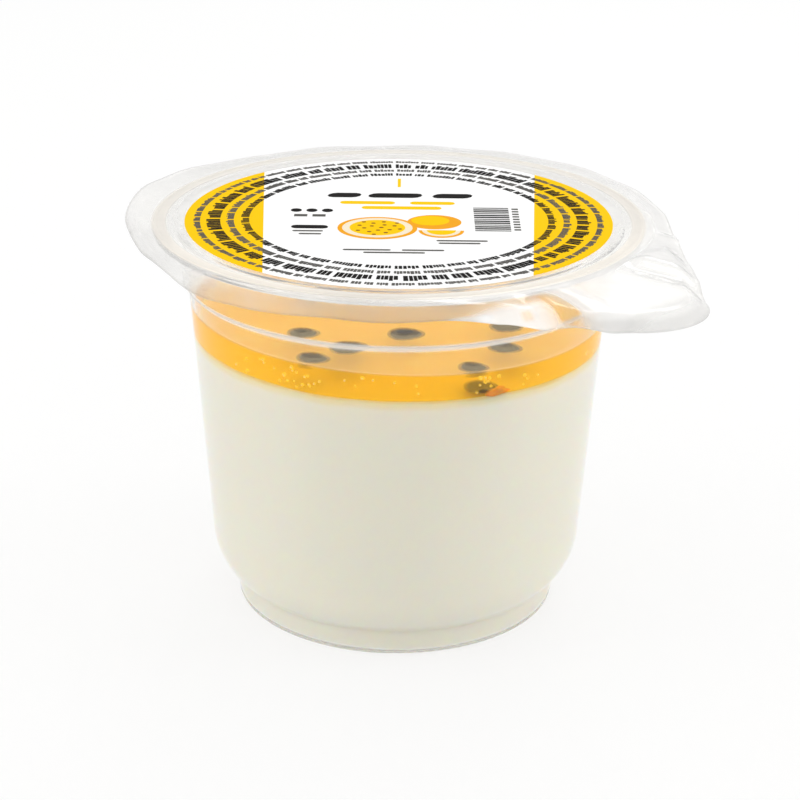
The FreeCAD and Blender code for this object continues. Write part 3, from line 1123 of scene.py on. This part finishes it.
@dataclass
class LidFilm:
    """The sealed film: flat over the rim, with a loose wavy skirt and a tab at one corner."""

    rim: float
    top: float
    thick: float = 0.15
    overhang: float = 4.0
    tab_spread: float = 3.0
    tab_round: float = 10.3
    tab_direction: float = -45.0
    edge_curl: float = 1.5
    seal_margin: float = 0.4
    seal_start: float = 35.5
    print_radius: float = 32.55
    # From here out to the rim's edge the film is pressed a hair into the rim.
    press_start: float = 33.0
    press_stop: float = 0.3
    sink: float = 0.04
    # Rings of the mesh: close together where the film is pressed and at the bead.
    spokes: int = 720
    middle_rings: tuple[float, ...] = (2.0, 12.0, 22.0, 30.0)
    press_rings: Flat = (-0.2, 0.1)
    bead_rings: tuple[float, ...] = (-0.7, -0.5, -0.3, -0.1, 0.1)
    skirt_rings: int = 22
    # The bead that the sealing ring squeezed up, just inside the rim's edge.
    bead_inset: float = 0.3
    bead_height: float = 0.07
    bead_half_width: float = 0.24
    # The cut edge thins out, and gets a painted grey shade.
    edge_taper: float = 0.7
    edge_thinned: float = 0.8
    cut_width: float = 0.35
    cut_fade: float = 0.2
    cut_painted_shade: float = 0.25
    # Small buckles of the skirt: two sizes of crinkle, and even ripples round the edge.
    # Each crinkle is given by its size, the place in the noise that it is taken from, and its height.
    crinkles: tuple[Point, ...] = ((9.0, 0.0, 0.22), (3.0, 7.0, 0.03))
    crinkle_onset: float = 1.6
    ripple_height: float = 0.08
    ripple_onset: float = 1.5
    ripples: int = 17
    ripple_turn: float = 0.8
    # The lip along the tab's front edge that turns down, with painted grey shade on it.
    lip_middle: float = -49.0
    lip_spread: float = 11.0
    lip_reach: float = 1.5
    lip_width: float = 2.4
    lip_fade: float = 0.25
    lip_painted_shade: float = 0.2
    # Direction and how far the free edge hangs there.
    hang: tuple[Flat, ...] = (
        (-180, -1.0), (-165, -0.9), (-150, 0.2), (-130, 2.3), (-105, 1.9), (-90, 2.0), (-70, 0.5),
        (-50, 0.8), (-40, 0.9), (-20, 0.5), (10, 0.6), (45, 0.2), (90, 0.2), (130, 0.2), (150, -0.6),
        (165, -1.25), (180, -1.0))
    hang_power: float = 1.3
    pleats: tuple[Pleat, ...] = (
        Pleat(-3, 5.0, -0.54), Pleat(-27, 6.5, 0.9), Pleat(-70, 2.2, 0.25), Pleat(-65.3, 1.7, -0.25),
        Pleat(-60.5, 1.8, 0.25), Pleat(-56, 1.6, -0.2), Pleat(-34, 2.2, -0.45), Pleat(-30, 1.6, 0.3),
        Pleat(-10, 1.8, 0.18), Pleat(-5, 1.6, -0.18))
    # Painted highlights: where the folds catch the light the film is painted whiter and less clear, and
    # negative amounts keep it clear beside that.
    milky: tuple[Patch, ...] = (
        Patch(-69, 5.5, 41.6, 48.0, 0.6), Patch(-77, 3.5, 42.2, 44.0, 0.45),
        Patch(-55.5, 3.0, 38.5, 53.0, 0.45), Patch(-46, 8, 38.5, 54.0, 0.3),
        Patch(-60, 1.5, 41.0, 48.0, -0.5), Patch(-66.5, 0.9, 43.2, 45.0, -0.4),
        Patch(-35, 40, 37.2, 39.0, 0.4), Patch(-160, 25, 37.2, 40.0, 0.2),
        Patch(90, 95, 30.0, 35.7, 0.42), Patch(-32, 0.9, 40.5, 50.0, 0.35))
    # Where the buckled skirt lies in its own shade, and where it catches light instead.
    painted_shade: tuple[Patch, ...] = (
        Patch(-35.2, 1.6, 41.5, 49.5, 0.3), Patch(-46, 8, 38.6, 52.0, -0.24),
        Patch(95, 50, 37.6, 43.0, 0.22), Patch(-88, 15, 38.6, 43.0, 0.3),
        Patch(-155, 12, 37.0, 43.0, 0.15), Patch(-68, 7, 41.0, 48.0, -0.3),
        Patch(-7, 2.0, 39.0, 43.5, -0.3), Patch(-132, 22, 33.0, 38.8, -0.25),
        Patch(-45, 30, 33.0, 38.6, -0.22), Patch(-32, 0.9, 40.5, 50.0, -0.3))
    base_grey: float = 0.3

    def edge_distance(self, angle: float) -> float:
        """Find the film's edge, a circle with straight tangents to the tab's rounded corner.

        Args:
            angle: Direction from the axis, radians.

        Returns:
            Distance of the edge from the axis.
        """
        radius = self.rim + self.overhang
        leave = math.radians(45 + self.tab_spread)
        centre = (radius - self.tab_round) / math.cos(leave)
        angle = abs(math.remainder(angle - math.radians(self.tab_direction), math.tau))
        if angle >= leave:
            return radius
        corner_ends = math.atan2(self.tab_round * math.sin(leave),
                                 centre + self.tab_round * math.cos(leave))
        if angle < corner_ends:
            return centre * math.cos(angle) + math.sqrt(
                self.tab_round ** 2 - (centre * math.sin(angle)) ** 2)
        return radius / math.cos(leave - angle)

    def edge_hang(self, degrees: float) -> float:
        """Tell how far the free edge hangs.

        Args:
            degrees: Direction from the axis.

        Returns:
            The drop, negative where the edge stands up.
        """
        for (before, low), (after, high) in zip(self.hang, self.hang[1:]):
            if before <= degrees <= after:
                return low + (high - low) * smooth((degrees - before) / (after - before))
        return self.hang[-1][1]

    def folds(self, distance: float, degrees: float) -> float:
        """Add up the pleats that run out from the rim.

        Args:
            distance: Distance from the axis.
            degrees: Direction from the axis.

        Returns:
            How much they raise the film there.
        """
        outwards = smooth((distance - self.rim) / self.overhang)
        rise = 0.0
        for middle, width, height in self.pleats:
            beside = (degrees - middle) / width
            rise += height * math.exp(-beside * beside) * outwards
        return rise

    def buckles(self, distance: float, angle: float, share: float) -> float:
        """Add up the small buckles of the loose film.

        Args:
            distance: Distance from the axis.
            angle: Direction from the axis, radians.
            share: How far out over the loose film, from 0 to 1.

        Returns:
            How much they raise the film there.
        """
        place = Vector((distance * math.cos(angle), distance * math.sin(angle), 0.0))
        crinkle = sum(noise.noise(place / size + Vector((shift, 0, 0))) * height
                      for size, shift, height in self.crinkles)
        ripple = self.ripple_height * math.sin(self.ripples * angle + self.ripple_turn)
        return crinkle * smooth(share * self.crinkle_onset) + ripple * smooth(share * self.ripple_onset)

    def painted_shade_at(self, distance: float, degrees: float, edge: float) -> float:
        """Tell how much painted shade greys the film, on top of its base grey.

        Args:
            distance: Distance from the axis.
            degrees: Direction from the axis.
            edge: Distance of the film's edge in that direction.

        Returns:
            Share of the grey colour there.
        """
        # Painted shade on the lip and along the cut edge; the patches add painted shade and, where negative,
        # painted highlights.
        lip = smooth(self.lip_reach - abs(degrees - self.lip_middle) / self.lip_spread) * smooth(
            (distance - edge + self.lip_width) / self.lip_fade + 0.5)
        cut = smooth((distance - edge + self.cut_width) / self.cut_fade)
        patches = sum(patch.at(distance, degrees) for patch in self.painted_shade)
        return max(self.base_grey + patches + self.lip_painted_shade * lip + self.cut_painted_shade * cut, 0.0)

    def height(self, distance: float, angle: float, edge: float) -> float:
        """Find the height of the film's top.

        Args:
            distance: Distance from the axis.
            angle: Direction from the axis, radians.
            edge: Distance of the film's edge in that direction.

        Returns:
            The height.
        """
        angle = math.remainder(angle, math.tau)
        degrees = math.degrees(angle)
        seal = self.rim + self.seal_margin
        share = max(distance - seal, 0.0) / (edge - seal)
        beside = (distance - self.rim + self.bead_inset) / self.bead_half_width
        rise = self.bead_height * math.exp(-beside * beside)
        if share > 0:
            tab = smooth((edge - self.rim - self.overhang) / self.overhang)
            curl = self.edge_curl * tab * smooth((distance - edge + self.overhang) / self.overhang)
            rise += (self.folds(distance, degrees) + self.buckles(distance, angle, share) - curl
                     - self.edge_hang(degrees) * share ** self.hang_power)
        return self.top + rise

    def sheet(self) -> tuple[list[Point], list[Point], dict[str, list[float]]]:
        """Lay out both sides of the film, ring by ring from the middle.

        Returns:
            Points of the top, points of the underside, and the painted highlight and painted shade at each
            place.
        """
        seal = self.rim + self.seal_margin
        flat = [*self.middle_rings, self.print_radius,
                *(self.press_start + past for past in self.press_rings), self.seal_start,
                *(self.rim + past for past in self.bead_rings), seal]
        upper: list[Point] = []
        lower: list[Point] = []
        looks: dict[str, list[float]] = {PAINTED_HIGHLIGHT_LAYER: [], PAINTED_SHADE_LAYER: []}
        for ring in range(len(flat) + self.skirt_rings):
            for spoke in range(self.spokes):
                angle = math.tau * spoke / self.spokes
                edge = self.edge_distance(angle)
                step = ring - len(flat) + 1
                distance = flat[ring] if step <= 0 else seal + (edge - seal) * step / self.skirt_rings
                x, y = distance * math.cos(angle), distance * math.sin(angle)
                z = self.height(distance, angle, edge)
                is_pressed = self.press_start <= distance <= self.rim - self.press_stop
                thinned = smooth(1 - (edge - distance) / self.edge_taper) * self.thick * self.edge_thinned
                degrees = math.degrees(math.remainder(angle, math.tau))
                looks[PAINTED_HIGHLIGHT_LAYER].append(sum(patch.at(distance, degrees) for patch in self.milky))
                looks[PAINTED_SHADE_LAYER].append(self.painted_shade_at(distance, degrees, edge))
                upper.append((x, y, z - thinned / 2))
                lower.append((x, y, z - self.thick - (self.sink if is_pressed else 0.0) + thinned / 2))
        return upper, lower, looks

    def sharpen_edge(self, film: bpy.types.Object, side: int) -> None:
        """Keep the shading of both sides apart at the cut edge.

        Args:
            film: The film.
            side: How many points each side has.
        """
        for line in film.data.edges:
            ends = line.vertices
            is_outermost = min(end % side for end in ends) >= side - self.spokes and max(ends) < 2 * side
            line.use_edge_sharp = is_outermost and (ends[0] < side) == (ends[1] < side)

    def build(self) -> bpy.types.Object:
        """Build the film as a closed thin sheet.

        Returns:
            The piece.
        """
        upper, lower, looks = self.sheet()
        side = len(upper)
        rings = side // self.spokes
        points = upper + lower
        faces = ring_grid(rings, self.spokes, 0, flip=True) + ring_grid(rings, self.spokes, side)
        last = side - self.spokes
        for spoke in range(self.spokes):
            after = (spoke + 1) % self.spokes
            faces.append((last + spoke, side + last + spoke, side + last + after, last + after))
        close_end(points, faces, 0, self.spokes, (0.0, 0.0, self.top), False)
        close_end(points, faces, side, self.spokes, (0.0, 0.0, self.top - self.thick), True)
        finish = SealedFilm().material(self.print_radius, self.seal_start, self.rim)
        film = mesh_object("film_lid", points, faces, finish)
        for name, values in looks.items():
            layer = film.data.attributes.new(name, "FLOAT", "POINT")
            layer.data.foreach_set("value", values * 2 + values[:1] * 2)
        self.sharpen_edge(film, side)
        return hand_over(film, "lid_film", "lid_film")


class BlockRing(NamedTuple):
    """A ring of small blocks: its radius, the blocks' height and usual width, their ink, and the part of
    a width left free beside each."""

    radius: float
    height: float
    width: float
    ink: Ink
    gap: float


@dataclass
class PrintedDisc:
    """The print on the film: fields of colour, rings of small blocks and a few plain shapes."""

    radius: float
    level: float
    forward: float = 0.8
    # The yellow fields' straight edge: its distance from the middle, and its lean.
    chord: float = 20.6
    chord_lean: float = 0.058
    layer: float = 0.02
    blocks_seed: int = 5
    block_rings: tuple[BlockRing, ...] = (
        BlockRing(30.7, 1.0, 0.36, Ink.GREY, 0.25), BlockRing(28.2, 2.1, 0.55, Ink.BLACK, 0.24),
        BlockRing(25.7, 1.2, 0.40, Ink.GREY, 0.25), BlockRing(23.4, 1.25, 0.40, Ink.BLACK, 0.34))
    group_size: tuple[int, int] = (3, 9)
    group_gap: float = 1.1
    block_widths: Flat = (0.7, 1.25)
    block_heights: tuple[float, ...] = (1.0, 1.0, 0.78, 0.78, 0.86)
    points: dict[Ink, list[Point]] = field(default_factory=dict)
    faces: dict[Ink, list[Face]] = field(default_factory=dict)

    def plate(self, ink: Ink, outline: list[Flat], step: int) -> None:
        """Add one flat shape with a thin edge.

        Args:
            ink: Its ink.
            outline: Its corners, anticlockwise from above.
            step: How many layers of ink lie under it.
        """
        points, faces = self.points.setdefault(ink, []), self.faces.setdefault(ink, [])
        first, count = len(points), len(outline)
        low, high = self.level + self.layer * step * 0.5, self.level + self.layer * (step + 1)
        points += [(x, y - self.forward, z) for z in (low, high) for x, y in outline]
        faces.append(tuple(first + i for i in reversed(range(count))))
        faces.append(tuple(first + count + i for i in range(count)))
        for i in range(count):
            after = (i + 1) % count
            faces.append((first + i, first + after, first + count + after, first + count + i))

    def disc(self, ink: Ink, place: Flat, radius: float, step: int, squash: float = 1.0,
             sides: int = 40) -> None:
        """Add a round or oval field.

        Args:
            ink: Its ink.
            place: Its middle.
            radius: Half its width.
            step: How many layers of ink lie under it.
            squash: Its depth, as a share of its width.
            sides: Corners of its outline.
        """
        turns = [math.tau * i / sides for i in range(sides)]
        self.plate(ink, [(place[0] + radius * math.cos(a), place[1] + radius * squash * math.sin(a))
                         for a in turns], step)

    def bar(self, ink: Ink, place: Flat, length: float, width: float, slant: float = 0.0) -> None:
        """Add a bar with rounded ends.

        Args:
            ink: Its ink.
            place: Its middle.
            length: Its length, along X.
            width: Its width.
            slant: How far its top leans over, as a share of its height.
        """
        x, y = place
        half, radius, ends = max(length / 2 - width / 2, 0.0), width / 2, 5
        outline = []
        for side, start in ((1, -math.pi / 2), (-1, math.pi / 2)):
            for i in range(ends + 1):
                angle = start + math.pi * i / ends
                up = radius * math.sin(angle)
                outline.append((x + side * half + radius * math.cos(angle) + slant * up, y + up))
        self.plate(ink, outline, 2)

    def box(self, ink: Ink, place: Flat, length: float, width: float) -> None:
        """Add a square-cornered bar.

        Args:
            ink: Its ink.
            place: Its middle.
            length: Its length, along X.
            width: Its width.
        """
        a, b = length / 2, width / 2
        x, y = place
        self.plate(ink, [(x - a, y - b), (x + a, y - b), (x + a, y + b), (x - a, y + b)], 2)

    def fields(self) -> None:
        """Add the white ground and the yellow field on each side of it."""
        self.disc(Ink.WHITE, (0.0, 0.0), self.radius, 0, sides=180)
        reach = math.acos(self.chord / self.radius)
        lean = math.atan(self.chord_lean)
        steps = 48
        for side in (-1, 1):
            turns = [-reach - lean + 2 * reach * i / steps for i in range(steps + 1)][::side]
            self.plate(Ink.YELLOW, [
                (side * self.radius * math.cos(a), self.radius * math.sin(a)) for a in turns], 1)

    def rings(self) -> None:
        """Add the rings of small upright blocks in groups, like lines of print without letters."""
        draw = random.Random(self.blocks_seed)
        for ring in self.block_rings:
            angle, inner = 0.0, ring.radius - ring.height / 2
            while angle is not None and angle < math.tau:
                angle = self.block_group(ring, inner, angle, draw)

    def block_group(self, ring: BlockRing, inner: float, angle: float, draw: random.Random) -> float | None:
        """Add one group of blocks to a ring.

        Args:
            ring: The ring.
            inner: Radius of the blocks' foot.
            angle: Where the group starts, radians.
            draw: Source of its unevenness.

        Returns:
            Where the next group starts, or None when the ring is full.
        """
        for _ in range(draw.randint(*self.group_size)):
            turn = ring.width * draw.uniform(*self.block_widths) / ring.radius
            if angle + turn > math.tau:
                return None
            outer = inner + ring.height * draw.choice(self.block_heights)
            self.plate(ring.ink, [(reach * math.cos(a), reach * math.sin(a)) for reach, a in (
                (inner, angle), (outer, angle), (outer, angle + turn), (inner, angle + turn))], 2)
            angle += turn * (1 + ring.gap)
        return angle + ring.width * self.group_gap / ring.radius

    def headings(self) -> None:
        """Add dark and yellow bars where a name and a title would stand, and small bars as captions."""
        for x, length in ((-8.6, 5.2), (-0.6, 8.4), (8.4, 6.2)):
            self.bar(Ink.BLACK, (x, 11.6), length, 2.3, slant=0.3)
        for x, y, length in ((-4.9, 7.7, 8.6), (5.2, 7.7, 7.0), (0.4, 5.1, 12.4)):
            self.bar(Ink.YELLOW, (x, y), length, 1.5)
        for x, y, length in ((-13.6, -6.9, 4.6), (-13.2, -8.3, 3.4), (9.4, -11.0, 7.6), (9.0, -12.2, 6.2),
                             (-4.6, -15.6, 7.0), (3.6, -15.6, 6.2), (-0.6, -16.8, 9.0)):
            self.bar(Ink.GREY, (x, y), length, 0.55)
        self.bar(Ink.BLACK, (-13.4, -4.9), 5.6, 1.6)
        self.box(Ink.YELLOW, (0.0, 18.6), 0.5, 4.6)

    def stripes(self) -> None:
        """Add the block of plain stripes at the right, evenly ruled."""
        for row in range(13):
            self.box(Ink.BLACK, (14.2, -6.0 + row * 0.95), 5.4, 0.55 if row % 3 else 0.3)
        for row in range(9):
            self.box(Ink.GREY, (17.9, -5.4 + row * 1.3), 1.0, 0.6)

    def small_signs(self) -> None:
        """Add plain dots and squares at the left."""
        for x in (-15.8, -13.4, -11.0):
            self.disc(Ink.BLACK, (x, 3.4), 0.85, 2, sides=20)
        for x in (-15.0, -12.2):
            self.box(Ink.GREY, (x, 0.8), 2.0, 1.1)

    def fruit(self) -> None:
        """Add the picture: a whole round fruit, a cut half with its seeds, and a cut wedge."""
        self.disc(Ink.GOLD, (5.4, -2.0), 4.1, 2, squash=0.86)
        self.disc(Ink.YELLOW, (4.8, -1.4), 2.9, 3, squash=0.8)
        x, y, squash = -3.2, -5.2, 0.9
        for ink, radius, step in ((Ink.GOLD, 6.0, 3), (Ink.CREAM, 5.3, 4), (Ink.YELLOW, 4.2, 5)):
            self.disc(ink, (x, y), radius, step, squash)
        seeds, golden_turn, spacing = 17, 2.4, 0.95
        for i in range(seeds):
            turn, away = golden_turn * i, spacing * math.sqrt(i + 0.4)
            self.disc(Ink.BROWN, (x + away * math.cos(turn), y + squash * away * math.sin(turn)), 0.34, 6,
                      squash=0.8, sides=12)
        steps = 24
        wedge = [math.pi + math.pi * i / steps for i in range(steps + 1)]
        x, y = 6.4, -6.2
        for ink, radius, step in ((Ink.GOLD, 3.4, 3), (Ink.CREAM, 2.9, 4), (Ink.YELLOW, 2.2, 5)):
            self.plate(ink, [(x + radius * math.cos(a), y + radius * math.sin(a)) for a in wedge], step)

    def build(self) -> None:
        """Build the print, one joined piece for each ink."""
        for part in (self.fields, self.rings, self.headings, self.stripes, self.small_signs, self.fruit):
            part()
        for ink, points in self.points.items():
            name = f"print_{ink.name.lower()}"
            piece = mesh_object(name, points, self.faces[ink], GravureInk(ink).material(), is_smooth=False)
            # Light that comes down through the lid reaches the jelly as if the disc were bare film.
            piece.visible_transmission = False
            hand_over(piece, "lid_film")


# ---------------------------------------------------------------- studio
class SoftBox(NamedTuple):
    """A soft box: its name, its place, its width and height, both in metres, and its watts."""

    name: str
    place: Point
    size: Flat
    power: float


@dataclass
class Studio:
    """The floor, the lamps, the surroundings and the camera."""

    world_level: float = 0.95
    # Mirrored rays see a darker room in front of the cup, so that the film's gloss has something to show.
    room_level: float = 0.40
    room_ends: Flat = (-0.6, 0.1)
    floor_half: float = 3000.0
    # What the soft boxes face, in metres as they are.
    aim: Point = (0.0, 0.0, 0.035)
    soft_boxes: tuple[SoftBox, ...] = (
        SoftBox("soft_box_left", (-0.55, -0.10, 0.28), (0.30, 0.55), 0.55),
        SoftBox("soft_box_right", (0.55, -0.02, 0.26), (0.22, 0.55), 0.50),
        SoftBox("soft_box_above", (0.0, 0.15, 0.75), (0.7, 0.5), 0.10),
        SoftBox("soft_box_behind", (0.13, 0.46, 0.44), (0.26, 0.14), 0.30))
    camera_elevation: float = 22.43
    camera_distance: float = 332.4
    camera_target: Point = (0.48, 0.0, 31.64)
    camera_roll: float = 0.615
    lens: float = 94.42
    sensor: float = 36.0

    def floor(self) -> None:
        """Lay the paper under the cup."""
        half = self.floor_half
        corners = [(-half, -half, 0.0), (half, -half, 0.0), (half, half, 0.0), (-half, half, 0.0)]
        mesh_object("floor", corners, [(0, 1, 2, 3)], StudioPaper().material(), is_smooth=False)

    def lamps(self) -> None:
        """Set a soft box on each side, one above and one behind."""
        for box in self.soft_boxes:
            light = bpy.data.lights.new(box.name, "AREA")
            light.shape = "RECTANGLE"
            light.size, light.size_y = box.size
            light.energy = box.power
            lamp = bpy.data.objects.new(box.name, light)
            lamp.location = box.place
            lamp.rotation_euler = (Vector(self.aim) - Vector(box.place)).to_track_quat("-Z", "Y").to_euler()
            bpy.context.scene.collection.objects.link(lamp)

    def surroundings(self) -> None:
        """Give even light from all round, and plain white to what looks at the background."""
        world = bpy.data.worlds.new("studio")
        world.use_nodes = True
        bpy.context.scene.world = world
        world.node_tree.nodes.clear()
        add = partial(add_node, world.node_tree)
        fill = add("Background", {"Color": even(1.0), "Strength": self.world_level})
        white = add("Background", {"Color": even(1.0), "Strength": 1.0})
        way = add("SeparateXYZ", {0: add("TexCoord").outputs["Generated"]})
        level = add("MapRange", {"Value": way.outputs["Y"], "From Min": self.room_ends[0],
                                 "From Max": self.room_ends[1], "To Min": self.room_level})
        mirrored = add("Background", {"Color": even(1.0), "Strength": level})
        path = add("LightPath")
        only_mirrored = add("Math", {
            0: path.outputs["Is Glossy Ray"], 1: path.outputs["Is Transmission Ray"]},
            operation="SUBTRACT", use_clamp=True)
        seen = add("MixShader", {0: only_mirrored, 1: white, 2: mirrored})
        add("OutputWorld", {"Surface": add("MixShader", {0: seen_directly(add), 1: fill, 2: seen})})

    def camera(self) -> None:
        """Set up the camera."""
        lift = math.radians(self.camera_elevation)
        target = Vector(self.camera_target) * MM
        back = Vector((0.0, -math.cos(lift), math.sin(lift)))
        data = bpy.data.cameras.new("camera")
        data.lens = self.lens
        data.sensor_width = self.sensor
        data.clip_start = CM
        camera = bpy.data.objects.new("camera", data)
        turn = (-back).to_track_quat("-Z", "Y").to_matrix() @ Matrix.Rotation(
            math.radians(self.camera_roll), 3, "Z")
        camera.matrix_world = Matrix.Translation(target + back * self.camera_distance * MM) @ turn.to_4x4()
        bpy.context.scene.collection.objects.link(camera)
        bpy.context.scene.camera = camera

    def build(self) -> None:
        """Set the whole studio up."""
        self.floor()
        self.lamps()
        self.surroundings()
        self.camera()
        bpy.context.scene.view_settings.view_transform = "Standard"
        LOG.info("studio: set up")


def main() -> None:
    """Build the looks round the frame, piece by piece."""
    logging.basicConfig(level=logging.INFO, format="%(name)s: %(message)s")
    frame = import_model()
    rim_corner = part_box("cup")[1]
    rim, rim_top = rim_corner.x / MM, rim_corner.z / MM
    inside = CupInside()
    cup = frame["nodes"]["cup"]
    cup.data.materials.clear()
    clear = ThermoformedPolypropylene().material(inside.step_height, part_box("cup")[1].z / MM)
    cup.data.materials.append(clear)
    LOG.info("cup: dressed")
    filling = Filling(inside)
    jelly_low, jelly_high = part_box("jelly")
    LOG.info("the CAD jelly lies from %.2f to %.2f mm", jelly_low.z / MM, jelly_high.z / MM)
    filling.mousse()
    filling.jelly()
    sunk = SunkInJelly(filling)
    sunk.seeds()
    sunk.sacs()
    sunk.pulp()
    sunk.bubbles()
    lid = LidFilm(rim=rim, top=rim_top + LidFilm.thick)
    lid.build()
    PrintedDisc(radius=lid.print_radius, level=lid.top).build()
    Studio().build()


if __name__ == "__main__":
    main()
